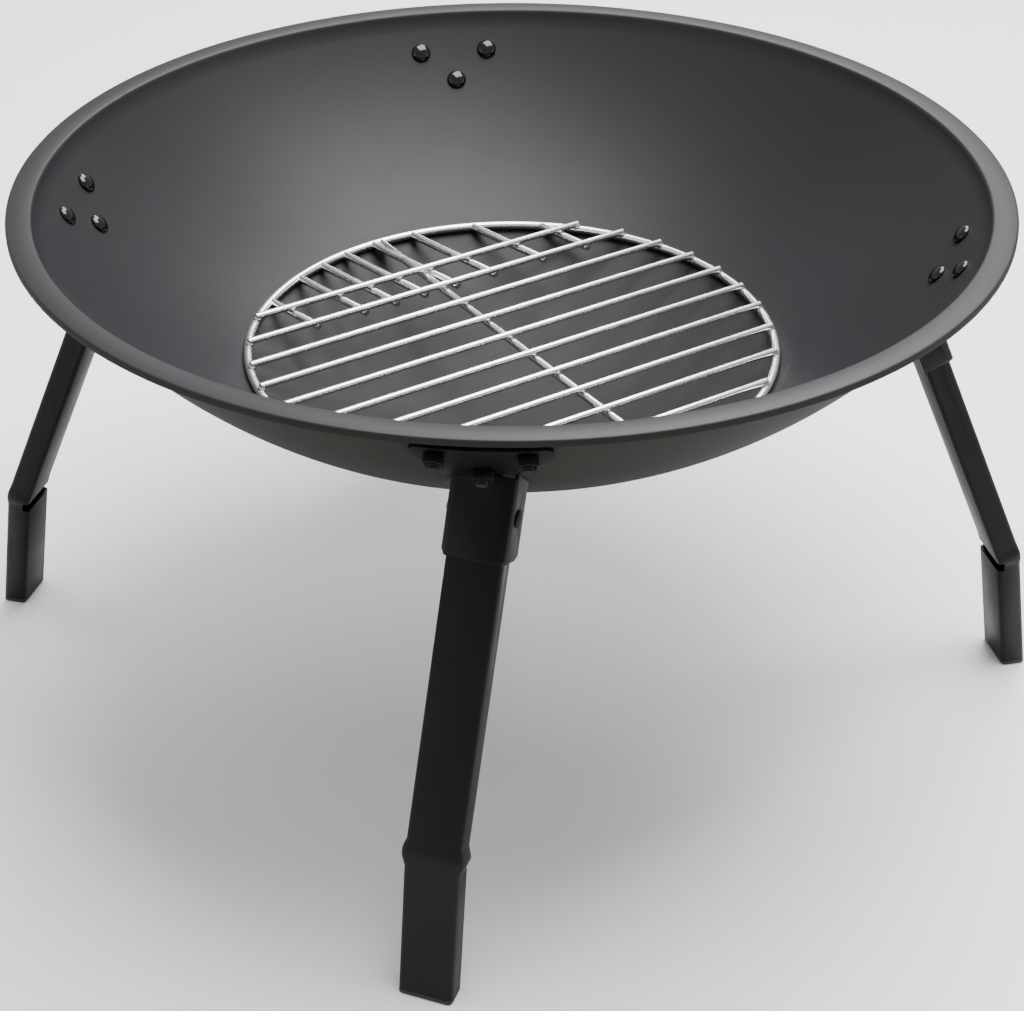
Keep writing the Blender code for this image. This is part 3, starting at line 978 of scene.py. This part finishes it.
def make_camera(lens):
    data = bpy.data.cameras.new("photo_camera")
    data.lens = lens
    data.sensor_width = 36.0
    data.sensor_fit = "HORIZONTAL"
    data.clip_start = 0.05
    data.clip_end = 50.0
    camera = bpy.data.objects.new("photo_camera", data)
    camera.location = CAMERA_PLACE
    camera.rotation_euler = (math.radians(90 - CAMERA_PITCH), 0, math.radians(CAMERA_TURN))
    bpy.context.scene.collection.objects.link(camera)
    bpy.context.scene.camera = camera


class MakeStudio(bpy.types.Operator):
    """Set up the pale floor, the soft lights and the camera at the photograph's angle"""

    bl_idname = "fire_bowl.make_studio"
    bl_label = "Make the studio"

    def execute(self, context):
        chosen = settings().studio
        make_floor(tuple(chosen.floor))
        make_room_light(chosen.sky)
        powers = (chosen.overhead, chosen.back, chosen.front, chosen.side)
        for (name, place, size), power in zip(SOFTBOXES, powers):
            add_softbox(name, place, size, power)
        make_camera(chosen.lens)
        return {"FINISHED"}


class FireBowlPanel(bpy.types.Panel):
    """Buttons for each group of pieces, with their sizes and colours"""

    bl_idname = "VIEW3D_PT_fire_bowl"
    bl_label = "Folding fire bowl"
    bl_space_type = "VIEW_3D"
    bl_region_type = "UI"
    bl_category = "Fire bowl"

    def draw(self, context):
        chosen = context.scene.fire_bowl
        rows = (
            (MakeBowl, chosen.bowl),
            (MakeGrate, chosen.grate),
            (MakeLegs, chosen.legs),
            (MakeBrackets, None),
            (MakeBolts, chosen.bolts),
            (MakeStudio, chosen.studio),
        )
        for operator, group in rows:
            box = self.layout.box()
            if group:
                for name in group.bl_rna.properties.keys():
                    if name not in ("rna_type", "name"):
                        box.prop(group, name)
            box.operator(operator.bl_idname)


CLASSES = (
    BowlSettings,
    GrateSettings,
    LegSettings,
    BoltSettings,
    StudioSettings,
    FireBowlSettings,
    MakeBowl,
    MakeGrate,
    MakeLegs,
    MakeBrackets,
    MakeBolts,
    MakeStudio,
    FireBowlPanel,
)


def register():
    for cls in CLASSES:
        bpy.utils.register_class(cls)
    bpy.types.Scene.fire_bowl = bpy.props.PointerProperty(type=FireBowlSettings)


def unregister():
    del bpy.types.Scene.fire_bowl
    for cls in reversed(CLASSES):
        bpy.utils.unregister_class(cls)


def clear_startup():
    for name in ("Cube", "Light", "Camera"):
        found = bpy.data.objects.get(name)
        if found:
            bpy.data.objects.remove(found)


def main():
    register()
    clear_startup()
    bpy.ops.fire_bowl.make_bowl()
    bpy.ops.fire_bowl.make_grate()
    bpy.ops.fire_bowl.make_legs()
    bpy.ops.fire_bowl.make_brackets()
    bpy.ops.fire_bowl.make_bolts()
    bpy.ops.fire_bowl.make_studio()
    deselect()


if __name__ == "__main__":
    main()
